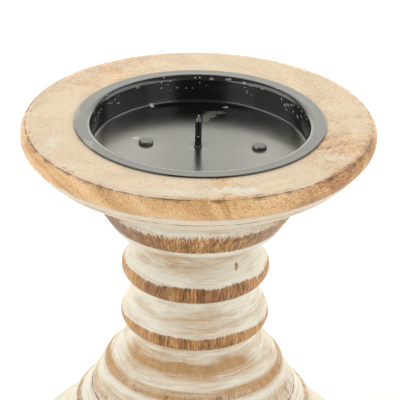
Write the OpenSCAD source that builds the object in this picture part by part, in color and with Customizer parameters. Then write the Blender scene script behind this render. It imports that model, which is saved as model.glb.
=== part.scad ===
// Turned wooden candlestick with a pressed steel pan for one pillar candle.
// Origin: on the table under the middle of the base. +Z is up. Millimetres.

/* [Overall] */
// Height from the table to the top face of the plate
total_h = 152; // [151:0.5:158]

/* [Top plate] */
// Largest diameter of the plate
plate_d = 127; // [126:0.2:134]
// Diameter of the plate's flat top face
plate_face_d = 122.6; // [119:0.2:122.6]
// Thickness of the plate, from its top face to the stem
plate_t = 19.5; // [18.5:0.5:20]
// Height of the round band around the plate's edge
plate_band_h = 8.3; // [6:0.1:9]

/* [Candle pan] */
// Diameter of the pillar candle that the pan is made for
candle_d = 76.2; // [70:0.1:78]
// Space left around the candle, on the diameter
candle_gap = 1.6; // [1:0.1:3]
// Width of the flange that lies on the plate
flange_w = 6; // [5:0.1:7]
// Depth of the pan's floor below the plate's top face
pan_depth = 9.8; // [8.5:0.1:10]
// Thickness of the sheet steel
sheet_t = 0.6; // [0.5:0.1:1]

/* [Spike and pan nails] */
// Diameter of the spike
spike_d = 2.4; // [2:0.1:3]
// Height of the spike above the pan's floor
spike_h = 12.1; // [10:0.1:16]
// Diameter of the pan nails' heads
nail_head_d = 5.2; // [4:0.1:6]
// Place of the left pan nail along X
nail_left_x = -18.7; // [-26:0.1:-12]
// Place of the right pan nail along X
nail_right_x = 21.9; // [12:0.1:26]

/* [Stem] */
// Radius of the cup where it meets the plate
cup_r = 41.2; // [39:0.1:44]
// Height of the cup
cup_h = 18; // [17:0.1:19]
// Radius of the neck under the cup
neck_r = 21; // [18:0.1:22]
// Radius of both beads at their fullest
bead_r = 27.2; // [26:0.1:29]
// Radius of the dome under the beads
dome_r = 32.8; // [32:0.1:33.4]
// Radius of the collar that stands on the base
collar_r = 42.3; // [41.5:0.1:44]

/* [Base] */
// Largest diameter of the base
base_d = 124; // [120:0.5:134]
// Height of the base, from its underside to the stem
base_h = 37.5; // [34:0.5:38]
// Height of the base's rounded edge
base_edge_h = 17; // [14:0.5:19]

/* [Fasteners and pads] */
// Diameter of the wood screws
screw_d = 4.2; // [3.5:0.1:5]
// Length of the screw through the plate
plate_screw_l = 30; // [20:1:40]
// Length of the screw through the base
base_screw_l = 50; // [40:1:60]
// Diameter of the felt pads
pad_d = 16; // [12:0.5:20]
// Thickness of the felt pads
pad_t = 1.5; // [1:0.1:2.5]
// Distance of the felt pads from the middle
pad_from_axis = 48; // [40:0.5:50]

/* [Hidden] */
$fn = 96;

// Heights above the table
plate_top = total_h;
stem_top = plate_top - plate_t;
base_under = pad_t;
stem_foot = base_under + base_h;
pan_floor = plate_top - pan_depth;
pan_under = pan_floor - sheet_t;

// Pan
well_r = (candle_d + candle_gap) / 2;
flange_r = well_r + flange_w;
brim_roll = 2;
floor_roll = 2.8;
// The pan lies a little off the middle of the plate
pan_shift = [0.6, -1.1];

// Recess in the plate for the pan, and the pocket under it for the spike's head
recess_gap = 1.4;
recess_r = well_r + sheet_t + recess_gap;
recess_chamfer = 1.3;
pocket_r = 5;
pocket_depth = 1.4;

// Spike and pan nails
spike_r = spike_d / 2;
spike_neck_r = spike_r + 0.3;
spike_neck_h = 0.5;
spike_point_h = 2.2;
spike_head_r = 3.5;
spike_head_t = 1;
nail_r = 0.8;
nail_l = 8.6;
nail_head_t = 0.9;
nail_left_y = 1.7;
nail_right_y = -0.5;
pilot_gap = 0.03;

// Screws, and the joint between stem and base
screw_r = screw_d / 2;
screw_head_r = 4;
screw_head_t = screw_head_r - screw_r;
screw_point_l = 6;
cross_w = 1;
cross_l = 4.6;
cross_depth = 1.1;
screw_hole_gap = 0.05;
counterbore_r = 6;
counterbore_depth = 6;
tenon_r = 14;
tenon_l = 18;
tenon_gap = 0.1;

steel = "dimgray";
lacquer = "#1c1a17";
wood = "burlywood";
washed_wood = "antiquewhite";

// Points of the arc from p to q that stands out by sag on the left of the way; q is left out
function bow(p, q, sag, n = 6) =
    let (chord = norm(q - p),
         along = (q - p) / chord,
         out = [-along[1], along[0]],
         r = (chord * chord / 4 + sag * sag) / (2 * sag),
         centre = (p + q) / 2 + out * (sag - r),
         half = asin(chord / 2 / r))
    [for (i = [0:n - 1])
        let (a = half * (2 * i / n - 1))
        centre + r * (out * cos(a) + along * sin(a))];

// A point of the stem's outline, by its radius and its drop below the plate
function on_stem(r, drop) = [r, stem_top - drop];

// One turned bead: a sloping shoulder, a full round edge and a tuck under it
function bead(top, shoulder, tuck, foot, shoulder_sag, edge_sag) =
    concat(bow(top, shoulder, shoulder_sag), bow(shoulder, tuck, edge_sag, 8),
           bow(tuck, foot, -0.3, 3));

module turned(outline) {
    rotate_extrude() polygon(outline);
}

// Countersunk wood screw, head up, with the top of its head at z = 0
module wood_screw(length) {
    difference() {
        rotate_extrude()
            polygon([[0, 0], [screw_head_r, 0], [screw_r, -screw_head_t],
                     [screw_r, screw_point_l - length], [0, -length]]);
        for (turn = [0, 90])
            rotate([0, 0, turn])
                translate([-cross_l / 2, -cross_w / 2, -cross_depth])
                    cube([cross_l, cross_w, 2 * cross_depth]);
    }
}

// Room for a wood screw: its shank, its countersunk head and a bore above the head
module screw_room(length, bore_r, bore_depth) {
    translate([0, 0, -length]) cylinder(r = screw_r + screw_hole_gap, h = length);
    translate([0, 0, -screw_head_t - screw_hole_gap])
        cylinder(r1 = screw_r, r2 = screw_head_r + screw_hole_gap,
                 h = screw_head_t + screw_hole_gap);
    cylinder(r = bore_r, h = bore_depth);
}

module pan_nail() {
    rotate_extrude()
        polygon(concat([[0, nail_head_t]],
                       bow([nail_head_d / 2 - 0.5, nail_head_t], [nail_head_d / 2, 0], 0.15, 4),
                       [[nail_head_d / 2, 0], [nail_r, 0], [nail_r, nail_r * 2 - nail_l],
                        [0, -nail_l]]));
}

module felt_pad(turn) {
    color("saddlebrown")
        rotate([0, 0, turn])
            translate([pad_from_axis, 0, 0])
                cylinder(d = pad_d, h = pad_t);
}

module top_plate() {
    r = plate_d / 2;
    face_r = plate_face_d / 2;
    band_foot = plate_top - plate_band_h;
    lip_foot = band_foot - 2.8;
    bead_top = stem_top + 2.2;
    color(wood)
        difference() {
            turned(concat(
                [[0, plate_top], [face_r - 0.3, plate_top], [face_r, plate_top - 0.3]],
                bow([face_r + 0.3, plate_top - 0.1], [r, plate_top - 3.7], 0.7),
                bow([r, plate_top - 3.7], [r - 2.4, band_foot], 0.7),
                [[r - 2.8, band_foot - 0.3]],
                bow([r - 2.9, band_foot - 0.5], [r - 4.6, lip_foot], 0.4),
                bow([r - 4.6, lip_foot], [48.6, bead_top], 1),
                bow([48.2, bead_top - 0.2], [46.8, stem_top], 0.5),
                [[46.8, stem_top], [0, stem_top]]));
            translate([0, 0, pan_under]) cylinder(r = recess_r, h = plate_t);
            translate([0, 0, plate_top - recess_chamfer])
                cylinder(r1 = recess_r, r2 = recess_r + 2 * recess_chamfer,
                         h = 2 * recess_chamfer);
            translate([0, 0, pan_under - pocket_depth])
                screw_room(plate_screw_l, pocket_r, 2 * pocket_depth);
            for (p = [[nail_left_x, nail_left_y], [nail_right_x, nail_right_y]])
                translate([p[0], p[1], pan_floor - nail_l])
                    cylinder(r = nail_r + pilot_gap, h = nail_l);
        }
}

module stem() {
    lip_r = 31.3;
    color(washed_wood)
        difference() {
            turned(concat(
                [on_stem(0, 0)],
                bow(on_stem(cup_r, 0), on_stem(lip_r, cup_h), 0.8, 8),
                bow(on_stem(lip_r, cup_h), on_stem(lip_r - 2, cup_h + 2.3), 0.5, 4),
                bow(on_stem(neck_r + 1.5, 21.3), on_stem(neck_r, 23.2), -0.4, 3),
                bead(on_stem(neck_r, 28.5), on_stem(bead_r - 1.3, 34.5),
                     on_stem(bead_r - 1.7, 40.7), on_stem(20.9, 44), 0.6, 1.4),
                bead(on_stem(20.9, 44), on_stem(bead_r - 0.6, 54.1),
                     on_stem(bead_r - 1.3, 60), on_stem(22.4, 62.6), 0.1, 1),
                [on_stem(23.2, 63.2), on_stem(23.2, 64.6)],
                bead(on_stem(22.6, 65), on_stem(dome_r - 0.8, 76.2),
                     on_stem(dome_r + 0.3, 78), on_stem(dome_r, 78.3), 0.2, 0.3),
                bow(on_stem(dome_r + 0.7, 78.5), on_stem(dome_r + 1.6, 80.3), 0.3, 4),
                bow(on_stem(dome_r + 1.8, 80.7), on_stem(collar_r - 4.2, 87.7), 0.1, 4),
                [on_stem(collar_r - 4.6, 88.1)],
                bow(on_stem(collar_r - 3.9, 88.4), [collar_r, stem_foot], 0.2, 4),
                [[collar_r, stem_foot], [tenon_r, stem_foot], [tenon_r, stem_foot - tenon_l],
                 [0, stem_foot - tenon_l]]));
            translate([0, 0, pan_under - pocket_depth])
                screw_room(plate_screw_l, pocket_r, pocket_depth);
            translate([0, 0, base_under + counterbore_depth])
                cylinder(r = screw_r + screw_hole_gap, h = base_screw_l);
        }
}

module base() {
    r = base_d / 2;
    edge_top = base_under + base_edge_h;
    color(washed_wood)
        difference() {
            turned(concat(
                [[0, stem_foot]],
                bow([collar_r + 0.2, stem_foot], [collar_r + 3.9, stem_foot - 5], 0.4, 4),
                bow([collar_r + 3.9, stem_foot - 5], [r - 2.6, edge_top + 0.6], -1.6, 8),
                bow([r - 1.9, edge_top], [r - 1.2, edge_top - 1.6], 0.3, 3),
                bow([r - 1.2, edge_top - 1.6], [r - 1.2, base_under + 3], 1.2, 8),
                [[r - 1.2, base_under + 3], [r - 2.7, base_under], [0, base_under]]));
            translate([0, 0, stem_foot - tenon_l - tenon_gap])
                cylinder(r = tenon_r + tenon_gap, h = tenon_l + base_h);
            translate([0, 0, base_under + counterbore_depth])
                rotate([180, 0, 0])
                    screw_room(base_screw_l, counterbore_r, 2 * counterbore_depth);
        }
}

module pan() {
    top = plate_top + sheet_t;
    color(lacquer)
        difference() {
            translate(pan_shift) turned(concat(
                [[0, pan_under]],
                bow([well_r - floor_roll, pan_under],
                    [well_r + sheet_t, pan_floor + floor_roll],
                    -(floor_roll + sheet_t) * (1 - cos(45))),
                bow([well_r + sheet_t, plate_top - brim_roll + sheet_t],
                    [well_r + brim_roll, plate_top],
                    (brim_roll - sheet_t) * (1 - cos(45))),
                bow([flange_r - sheet_t / 2, plate_top], [flange_r - sheet_t / 2, top],
                    -sheet_t / 2 + 0.01),
                bow([flange_r - sheet_t / 2, top], [well_r + brim_roll, top], 0.02, 2),
                bow([well_r + brim_roll, top], [well_r, top - brim_roll],
                    -brim_roll * (1 - cos(45))),
                bow([well_r, pan_floor + floor_roll], [well_r - floor_roll, pan_floor],
                    floor_roll * (1 - cos(45))),
                [[well_r - floor_roll, pan_floor], [0, pan_floor]]));
            translate([0, 0, pan_under - sheet_t])
                cylinder(r = spike_neck_r + pilot_gap, h = 3 * sheet_t);
            for (p = [[nail_left_x, nail_left_y], [nail_right_x, nail_right_y]])
                translate([p[0], p[1], pan_under - sheet_t])
                    cylinder(r = nail_r + pilot_gap, h = 3 * sheet_t);
        }
}

// A nail pushed up through the pan: its flat head stays under the pan, in the plate's pocket, and
// its thicker neck fills the hole and ends in a small cone above the floor
module spike() {
    head_under = pan_under - spike_head_t;
    shank_top = pan_floor + spike_h - spike_point_h;
    color(lacquer) {
        translate([0, 0, head_under]) cylinder(r = spike_head_r, h = spike_head_t);
        translate([0, 0, head_under]) cylinder(r = spike_neck_r, h = pan_floor - head_under);
        translate([0, 0, pan_floor])
            cylinder(r1 = spike_neck_r, r2 = spike_r, h = spike_neck_h);
        translate([0, 0, pan_floor]) cylinder(r = spike_r, h = shank_top - pan_floor);
        translate([0, 0, shank_top]) cylinder(r1 = spike_r, r2 = 0.25, h = spike_point_h);
    }
}

module pan_nail_left() {
    color(steel) translate([nail_left_x, nail_left_y, pan_floor]) pan_nail();
}

module pan_nail_right() {
    color(steel) translate([nail_right_x, nail_right_y, pan_floor]) pan_nail();
}

module plate_screw() {
    color(steel) translate([0, 0, pan_under - pocket_depth]) wood_screw(plate_screw_l);
}

module base_screw() {
    color(steel)
        translate([0, 0, base_under + counterbore_depth])
            rotate([180, 0, 0])
                wood_screw(base_screw_l);
}

top_plate();
stem();
base();
pan();
spike();
pan_nail_left();
pan_nail_right();
plate_screw();
base_screw();
felt_pad(-45);  // felt_pad_front_right
felt_pad(45);  // felt_pad_back_right
felt_pad(135);  // felt_pad_back_left
felt_pad(225);  // felt_pad_front_left
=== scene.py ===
# %% [markdown]
# # A turned wooden candlestick
#
# The object is a pillar-candle holder from a small workshop: a round wooden plate, a turned stem with two
# beads and a dome, a heavy base, and a black steel pan sunk into the plate with a spike for the candle.
# The CAD model fixes every size. Here each piece gets its real surface: turned wood with open grain,
# white paint rubbed through where a hand or a cloth would rub it, and lacquered steel with dust and scuffs.

# %% Load the frame
import math
import random
from collections import namedtuple

import bmesh
import bpy
from mathutils import Matrix, Vector, noise


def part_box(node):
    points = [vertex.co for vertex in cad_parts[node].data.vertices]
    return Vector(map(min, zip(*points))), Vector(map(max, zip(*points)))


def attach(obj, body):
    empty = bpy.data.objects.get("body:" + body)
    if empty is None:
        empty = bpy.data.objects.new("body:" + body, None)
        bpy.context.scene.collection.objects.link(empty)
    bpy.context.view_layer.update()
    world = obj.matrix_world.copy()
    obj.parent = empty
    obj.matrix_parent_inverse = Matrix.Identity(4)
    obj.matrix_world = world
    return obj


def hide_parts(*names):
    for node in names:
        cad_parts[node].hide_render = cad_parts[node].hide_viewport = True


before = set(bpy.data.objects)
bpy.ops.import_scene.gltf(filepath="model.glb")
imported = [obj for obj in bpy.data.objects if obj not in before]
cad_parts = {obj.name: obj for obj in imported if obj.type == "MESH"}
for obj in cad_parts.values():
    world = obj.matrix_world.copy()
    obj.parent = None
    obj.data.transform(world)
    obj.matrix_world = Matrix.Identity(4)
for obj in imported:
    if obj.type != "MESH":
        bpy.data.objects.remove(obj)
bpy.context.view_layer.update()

MM = 0.001
PLATE_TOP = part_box("top_plate")[1].z
PLATE_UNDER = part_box("top_plate")[0].z
STEM_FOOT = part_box("base")[1].z
print("height of the plate's top, mm:", round(PLATE_TOP / MM, 2))
print("stem shows from", round(STEM_FOOT / MM, 2), "to", round(PLATE_UNDER / MM, 2), "mm")

# %% [markdown]
# ## Camera
#
# A long lens stands well back and looks down into the pan. Its place is worked out from the point it looks
# at, its pitch and its distance, so that one number can be changed at a time. A small roll leans the
# candlestick's axis a little to the left at its foot.

# %% Camera
PITCH = math.radians(27.0)
ROLL = math.radians(1.25)
DISTANCE = 0.850
AIM = Vector((1.1 * MM, 0.0, PLATE_TOP - 31.5 * MM))
LENS = 211.5

ahead = Vector((0.0, math.cos(PITCH), -math.sin(PITCH)))
level = Vector((1.0, 0.0, 0.0))
above = level.cross(ahead)
right = level * math.cos(ROLL) + above * math.sin(ROLL)
up = above * math.cos(ROLL) - level * math.sin(ROLL)

camera_data = bpy.data.cameras.new("camera")
camera_data.lens = LENS
camera_data.sensor_width = 36.0
camera_data.clip_start = 0.01
camera_data.clip_end = 50.0
camera = bpy.data.objects.new("camera", camera_data)
bpy.context.scene.collection.objects.link(camera)
turn = Matrix((right, up, -ahead)).transposed().to_4x4()
camera.matrix_world = Matrix.Translation(AIM - ahead * DISTANCE) @ turn
bpy.context.scene.camera = camera
print("camera stands at", [round(c, 3) for c in camera.matrix_world.translation])

# %% [markdown]
# ## Shader nodes in few words
#
# Every material below is a small network. Two helpers keep the networks readable: one adds a node with its
# settings and inputs in a single call, and one opens a new node group with named sockets.

# %% Helpers for shader nodes
def add(tree, kind, inputs=None, **settings):
    """Add a node; an input is a value or the socket that feeds it."""
    made = tree.nodes.new(kind)
    for name, value in settings.items():
        setattr(made, name, value)
    for name, value in (inputs or {}).items():
        if isinstance(value, bpy.types.NodeSocket):
            tree.links.new(value, made.inputs[name])
        else:
            made.inputs[name].default_value = value
    return made


def maths(tree, operation, first, second=0.0, third=0.0, clamp=False):
    """One arithmetic step; returns its output socket."""
    step = add(tree, "ShaderNodeMath", {0: first, 1: second, 2: third},
               operation=operation, use_clamp=clamp)
    return step.outputs[0]


def vectors(tree, operation, *given):
    """One step with vectors; returns the node, because a length leaves by another socket than a vector."""
    return add(tree, "ShaderNodeVectorMath", dict(enumerate(given)), operation=operation)


def spread(tree, value, low, high, out_low=0.0, out_high=1.0):
    """Map low..high to out_low..out_high with soft ends."""
    step = add(tree, "ShaderNodeMapRange",
               {"Value": value, "From Min": low, "From Max": high,
                "To Min": out_low, "To Max": out_high},
               interpolation_type="SMOOTHSTEP")
    return step.outputs["Result"]


def blend(tree, amount, first, second, mode="MIX"):
    """Mix two colours; returns the colour socket."""
    step = add(tree, "ShaderNodeMix", {"Factor": amount}, data_type="RGBA", blend_type=mode)
    for socket, value in ((step.inputs[6], first), (step.inputs[7], second)):
        if isinstance(value, bpy.types.NodeSocket):
            tree.links.new(value, socket)
        else:
            socket.default_value = value
    return step.outputs[2]


def noisy(tree, where, scale, detail, **more):
    """Noise at a position; returns its value."""
    inputs = {"Vector": where, "Scale": scale, "Detail": detail, **more}
    return add(tree, "ShaderNodeTexNoise", inputs).outputs["Fac"]


def open_group(name, inputs, outputs):
    """Start a shader node group; returns its tree, what it is given and where its results go."""
    tree = bpy.data.node_groups.new(name, "ShaderNodeTree")
    for socket_name, (kind, value) in inputs.items():
        socket = tree.interface.new_socket(socket_name, in_out="INPUT", socket_type=kind)
        if value is not None:
            socket.default_value = value
    for socket_name, kind in outputs.items():
        tree.interface.new_socket(socket_name, in_out="OUTPUT", socket_type=kind)
    return tree, tree.nodes.new("NodeGroupInput").outputs, tree.nodes.new("NodeGroupOutput").inputs


def place_group(tree, group, inputs):
    """Use a node group in a material."""
    return add(tree, "ShaderNodeGroup", inputs, node_tree=group)


def srgb(red, green, blue):
    """A colour picked on screen, 0 to 255, as the linear colour that shaders use."""
    def straight(c):
        c = c / 255.0
        return c / 12.92 if c <= 0.04045 else ((c + 0.055) / 1.055) ** 2.4
    return (straight(red), straight(green), straight(blue), 1.0)


FLOAT, VECTOR, COLOUR = "NodeSocketFloat", "NodeSocketVector", "NodeSocketColor"


def new_material(name):
    """A material with an empty tree, its Principled shader and its output."""
    material = bpy.data.materials.new(name)
    material.use_nodes = True
    tree = material.node_tree
    tree.nodes.clear()
    shader = add(tree, "ShaderNodeBsdfPrincipled")
    add(tree, "ShaderNodeOutputMaterial", {"Surface": shader.outputs[0]})
    return material, tree, shader

# %% [markdown]
# ## Floor and light
#
# The candlestick stands in soft daylight from all round: a white surrounding, a wide soft box on each side,
# a large warm one above and behind with a low strip under it, and two small ones at the front corners. These
# two are weaker, so that the turned shapes keep their depth. The floor is one pale plane.

# %% Floor
FLOOR_HALF = 6.0
floor_mesh = bmesh.new()
bmesh.ops.create_grid(floor_mesh, x_segments=1, y_segments=1, size=FLOOR_HALF)
floor_data = bpy.data.meshes.new("floor")
floor_mesh.to_mesh(floor_data)
floor_mesh.free()
floor = bpy.data.objects.new("floor", floor_data)
bpy.context.scene.collection.objects.link(floor)
floor_paint, _, floor_shader = new_material("pale_floor")
floor_shader.inputs["Base Color"].default_value = (0.965, 0.975, 1.0, 1.0)
floor_shader.inputs["Roughness"].default_value = 0.9
floor_shader.inputs["Specular IOR Level"].default_value = 0.0
floor_data.materials.append(floor_paint)

# %% Light
def soft_box(name, place, aim, size, watts, tint=(1.0, 1.0, 1.0)):
    """A square area lamp that looks at a point."""
    lamp = bpy.data.lights.new(name, "AREA")
    lamp.shape = "RECTANGLE"
    lamp.size, lamp.size_y = size
    lamp.energy = watts
    lamp.color = tint
    stand = bpy.data.objects.new(name, lamp)
    bpy.context.scene.collection.objects.link(stand)
    look = (Vector(aim) - Vector(place)).to_track_quat("-Z", "Y")
    stand.matrix_world = Matrix.Translation(place) @ look.to_matrix().to_4x4()


MIDDLE = (0.0, 0.0, 0.09)
soft_box("left_box", (-1.1, 0.0, 0.8), MIDDLE, (1.2, 1.2), 9.5)
soft_box("right_box", (1.1, 0.05, 0.8), MIDDLE, (1.2, 1.2), 8.8)
soft_box("back_box", (0.0, 1.5, 0.85), MIDDLE, (2.6, 1.0), 19.0, tint=(1.0, 0.985, 0.9))
soft_box("low_back_strip", (0.0, 1.4, 0.24), MIDDLE, (2.6, 0.26), 7.0, tint=(1.0, 0.985, 0.92))
soft_box("front_left_box", (-1.0, -1.0, 0.6), MIDDLE, (0.8, 0.7), 5.6)
soft_box("front_right_box", (1.0, -1.0, 0.6), MIDDLE, (0.8, 0.7), 5.6)

surround = bpy.data.worlds.new("surround")
surround.use_nodes = True
surround.node_tree.nodes["Background"].inputs["Color"].default_value = (1.0, 0.995, 0.98, 1.0)
surround.node_tree.nodes["Background"].inputs["Strength"].default_value = 0.22
bpy.context.scene.world = surround
bpy.context.scene.view_settings.view_transform = "Standard"

# %% [markdown]
# ## Turning on a lathe
#
# All the wood was turned, and the pan was pressed over a round form, so one way of working fits them all: a
# thin outline that is swept round the axis. The outline isn't drawn a second time. It is cut from the CAD
# piece with a plane, so the sizes stay the CAD's own. Then it is divided finely, its corners are eased a
# little, as sandpaper does, and it is spun.

# %% Cut, divide and ease an outline
WELD = 1e-7


def cut_outline(node_name, centre=(0.0, 0.0)):
    """Half of the CAD piece's section: vertices and edges in the plane y = 0, on the side of +X."""
    outline = bmesh.new()
    outline.from_mesh(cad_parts[node_name].data)
    bmesh.ops.remove_doubles(outline, verts=outline.verts[:], dist=WELD)
    bmesh.ops.translate(outline, verts=outline.verts[:], vec=(-centre[0], -centre[1], 0.0))
    # the pan nails' holes lie along X, so the cut goes along Y
    bmesh.ops.rotate(outline, verts=outline.verts[:], cent=(0, 0, 0),
                     matrix=Matrix.Rotation(math.radians(90.0), 3, "Z"))
    for normal, keep_front in (((0, 1, 0), False), ((1, 0, 0), True)):
        bmesh.ops.bisect_plane(
            outline, geom=outline.verts[:] + outline.edges[:] + outline.faces[:], dist=WELD,
            plane_co=(0, 0, 0), plane_no=normal, clear_inner=True, clear_outer=not keep_front)
    bmesh.ops.remove_doubles(outline, verts=outline.verts[:], dist=0.01 * MM)
    return outline


def divide(outline, longest, shows):
    """Split the edges that show until none is longer than a given length."""
    for edge in [e for e in outline.edges if shows(e.verts[0].co) and shows(e.verts[1].co)]:
        cuts = math.ceil(edge.calc_length() / longest) - 1
        if cuts > 0:
            bmesh.ops.subdivide_edges(outline, edges=[edge], cuts=cuts)


def ease(outline, shows, rounds, strength=0.5):
    """Round the corners a little, as sanding does."""
    loose = [v for v in outline.verts if shows(v.co) and len(v.link_edges) == 2]
    for _ in range(rounds):
        bmesh.ops.smooth_vert(outline, verts=loose, factor=strength,
                              use_axis_x=True, use_axis_y=False, use_axis_z=True)

# %% [markdown]
# Two facts about the outline help the finish later. The distance along it lets streaks follow the tool's
# path. Its bend tells crests, where paint is rubbed away, from hollows, where thin dark lines are painted
# as shade. Both are measured here and stored on the vertices, and the spin copies them all the way round.

# %% Measure the outline
def in_order(outline):
    """The outline's vertices one after the other, from the highest end, with their distances."""
    ends = [v for v in outline.verts if len(v.link_edges) == 1]
    here = max(ends or outline.verts, key=lambda v: v.co.z)
    chain, gone = [here], [0.0]
    while True:
        onward = [e for e in here.link_edges if e.other_vert(here) not in chain[-2:]]
        onward = [e for e in onward if e.other_vert(here) is not chain[0]]
        if not onward:
            return chain, gone
        gone.append(gone[-1] + onward[0].calc_length())
        here = onward[0].other_vert(here)
        chain.append(here)


def measure(outline, reach=0.55 * MM):
    """Write the layers along, in metres, and crest and hollow, from 0 to 1."""
    along = outline.verts.layers.float.new("along")
    crest = outline.verts.layers.float.new("crest")
    hollow = outline.verts.layers.float.new("hollow")
    chain, gone = in_order(outline)
    for i, v in enumerate(chain):
        v[along] = gone[i]
        before = next((j for j in range(i, -1, -1) if gone[i] - gone[j] > reach), 0)
        after = next((j for j in range(i, len(chain)) if gone[j] - gone[i] > reach), len(chain) - 1)
        come, leave = v.co - chain[before].co, chain[after].co - v.co
        if come.length * leave.length > 0:
            bend = come.normalized().cross(leave.normalized()).y
            v[crest], v[hollow] = max(0.0, bend), max(0.0, -bend)
    return gone[-1]

# %% [markdown]
# One full spin is slow, because every step looks again at all that is there already. So only one part in 32
# is spun, and that sector is copied and turned five times, which doubles it each time.

# %% Spin
DOUBLINGS = 5


def spin(outline, steps_of_32):
    """Sweep the outline round Z into a closed skin with its faces outwards."""
    sector = 2 * math.pi / 2 ** DOUBLINGS
    bmesh.ops.spin(outline, geom=outline.verts[:] + outline.edges[:], cent=(0, 0, 0),
                   axis=(0, 0, 1), dvec=(0, 0, 0), angle=sector, steps=steps_of_32,
                   use_merge=False, use_duplicate=False)
    for _ in range(DOUBLINGS):
        copied = bmesh.ops.duplicate(outline, geom=outline.verts[:] + outline.edges[:] + outline.faces[:])
        bmesh.ops.rotate(outline, verts=[g for g in copied["geom"] if isinstance(g, bmesh.types.BMVert)],
                         cent=(0, 0, 0), matrix=Matrix.Rotation(sector, 3, "Z"))
        sector *= 2
    bmesh.ops.remove_doubles(outline, verts=outline.verts[:], dist=0.002 * MM)
    bmesh.ops.recalc_face_normals(outline, faces=outline.faces[:])
    for face in outline.faces:
        face.smooth = True
    return outline

# %% [markdown]
# A turned piece is never perfectly round or smooth. The gouge leaves shallow rings, the wood moves as it
# dries, and edges pick up dents. All three are small moves of the vertices along their normals, made from
# noise that gives the same result each time.

# %% Tool marks, movement and dents
def weather(skin, shows, rings=0.05 * MM, movement=0.12 * MM, pitch=1.3 * MM):
    """Move the vertices that show: rings along the outline, and slow swells round the piece."""
    along = skin.verts.layers.float["along"]
    skin.normal_update()
    for v in [v for v in skin.verts if shows(v.co)]:
        ring = noise.noise(Vector((v[along] / pitch, 3.7, v.co.x * 8.0 + v.co.y * 5.0)))
        slow = noise.noise(v.co * 22.0)
        v.co += v.normal * (rings * ring + movement * slow)


def press(skin, marks):
    """Press small hollows into the skin: each mark has a place, a reach and a depth."""
    skin.normal_update()
    for place, reach, depth in marks:
        for v in skin.verts:
            gap = (v.co - place).length / reach
            if gap < 1.0:
                v.co -= v.normal * depth * (1.0 - gap * gap) ** 2


def chips(seed, count, radius, height, reach, depth):
    """Marks at random places round an edge, the same on every run."""
    dice = random.Random(seed)
    marks = []
    for _ in range(count):
        angle, size = dice.uniform(0.0, 2 * math.pi), dice.uniform(0.5, 1.0)
        place = Vector((radius * math.cos(angle), radius * math.sin(angle), height))
        marks.append((place, reach * size, depth * size))
    return marks

# %% [markdown]
# These steps come one after the other for each wooden piece. The last helper makes an object of the result
# and says which body it rides on and which CAD nodes it stands for.

# %% One turned piece
STEPS_OF_32 = 10


def turn_wood(node_name, longest, shows, rounds, rings=0.05 * MM):
    """Cut, divide, ease, measure, spin and weather a wooden piece."""
    outline = cut_outline(node_name)
    divide(outline, longest, shows)
    ease(outline, shows, rounds)
    print(node_name, "outline, mm:", round(measure(outline) / MM, 1))
    skin = spin(outline, STEPS_OF_32)
    weather(skin, shows, rings=rings)
    return skin

# %% From mesh to piece
def to_piece(name, skin, material, slot, *cad_nodes):
    """Turn a bmesh into an object that rides on the body and stands for its CAD nodes."""
    data = bpy.data.meshes.new(name)
    skin.to_mesh(data)
    skin.free()
    data.materials.append(material)
    piece = bpy.data.objects.new(name, data)
    bpy.context.scene.collection.objects.link(piece)
    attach(piece, "root")
    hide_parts(*cad_nodes)
    print(name, "has", len(data.vertices), "vertices and", len(data.polygons), "faces")

# %% [markdown]
# ## Where the paint is rubbed away
#
# The maker painted the turned wood white and then rubbed it while the lathe turned, so bare wood shows in
# bands on the crests. A few patches were rubbed by hand on one side only. Each band is written down by its
# depth below the plate's top, how bare it is, how soft its edges are and how much it wanders, and where a
# band is only on one side, by the direction of its middle and its reach. The result is stored on the
# vertices as bare, from 0 to 1. Thin paint, through which the wood's colour shows, is stored in the same way.

# %% Bands and patches
Rub = namedtuple("Rub", "top foot amount fade foot_fade wander middle reach")


def rub(top, foot, amount, fade=0.5, foot_fade=None, wander=0.5, middle=None, reach=None):
    return Rub(top, foot, amount, fade, foot_fade or fade, wander, middle, reach)


def groove(top, foot, amount, fade=0.3):
    """A band that runs true round the piece."""
    return rub(top, foot, amount, fade=fade, wander=0.0)


def soft(value, low, high):
    """0 below low, 1 above high, smooth between."""
    share = min(max((value - low) / (high - low), 0.0), 1.0)
    return share * share * (3.0 - 2.0 * share)


def rubbed(place, rubs):
    """How much the rubs in a list say at a place, from 0 to 1."""
    depth = (PLATE_TOP - place.z) / MM
    turn = math.degrees(math.atan2(place.y, place.x))
    most = 0.0
    for one in rubs:
        if not one.top - 4.0 < depth < one.foot + 4.0:
            continue
        round_it = Vector((place.x, place.y, 0.0)).normalized() * 1.8
        shift = one.wander * noise.noise(round_it + Vector((0.0, 0.0, one.top)))
        shift += 0.3 * one.wander * noise.noise(round_it * 5.0 + Vector((0.0, 0.0, one.foot)))
        here = (soft(depth, one.top + shift - one.fade, one.top + shift + one.fade)
                * (1.0 - soft(depth, one.foot + 0.2 * shift - one.foot_fade,
                              one.foot + 0.2 * shift + one.foot_fade)))
        if one.middle is not None:
            away = abs((turn - one.middle + 180.0) % 360.0 - 180.0)
            here *= 1.0 - soft(away, 0.6 * one.reach, one.reach)
        most = max(most, one.amount * here)
    return most


def paint_plan(skin, **plans):
    """Write one vertex layer for each named list of rubs."""
    for name, rubs in plans.items():
        layer = skin.verts.layers.float.new(name)
        for v in skin.verts:
            v[layer] = rubbed(v.co, rubs)


def daub(skin, name, marks, ragged=0.35):
    """Add marks to a layer: each has a middle, half sizes along X, Y and Z, and an amount."""
    layer = skin.verts.layers.float.get(name) or skin.verts.layers.float.new(name)
    for middle, size, amount in marks:
        for v in skin.verts:
            gap = v.co - middle
            far = math.hypot(gap.x / size[0], gap.y / size[1], gap.z / size[2])
            if far < 2.0:
                far += ragged * noise.noise(v.co * 700.0)
                v[layer] = max(v[layer], amount * (1.0 - soft(far, 0.6, 1.1)))


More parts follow.
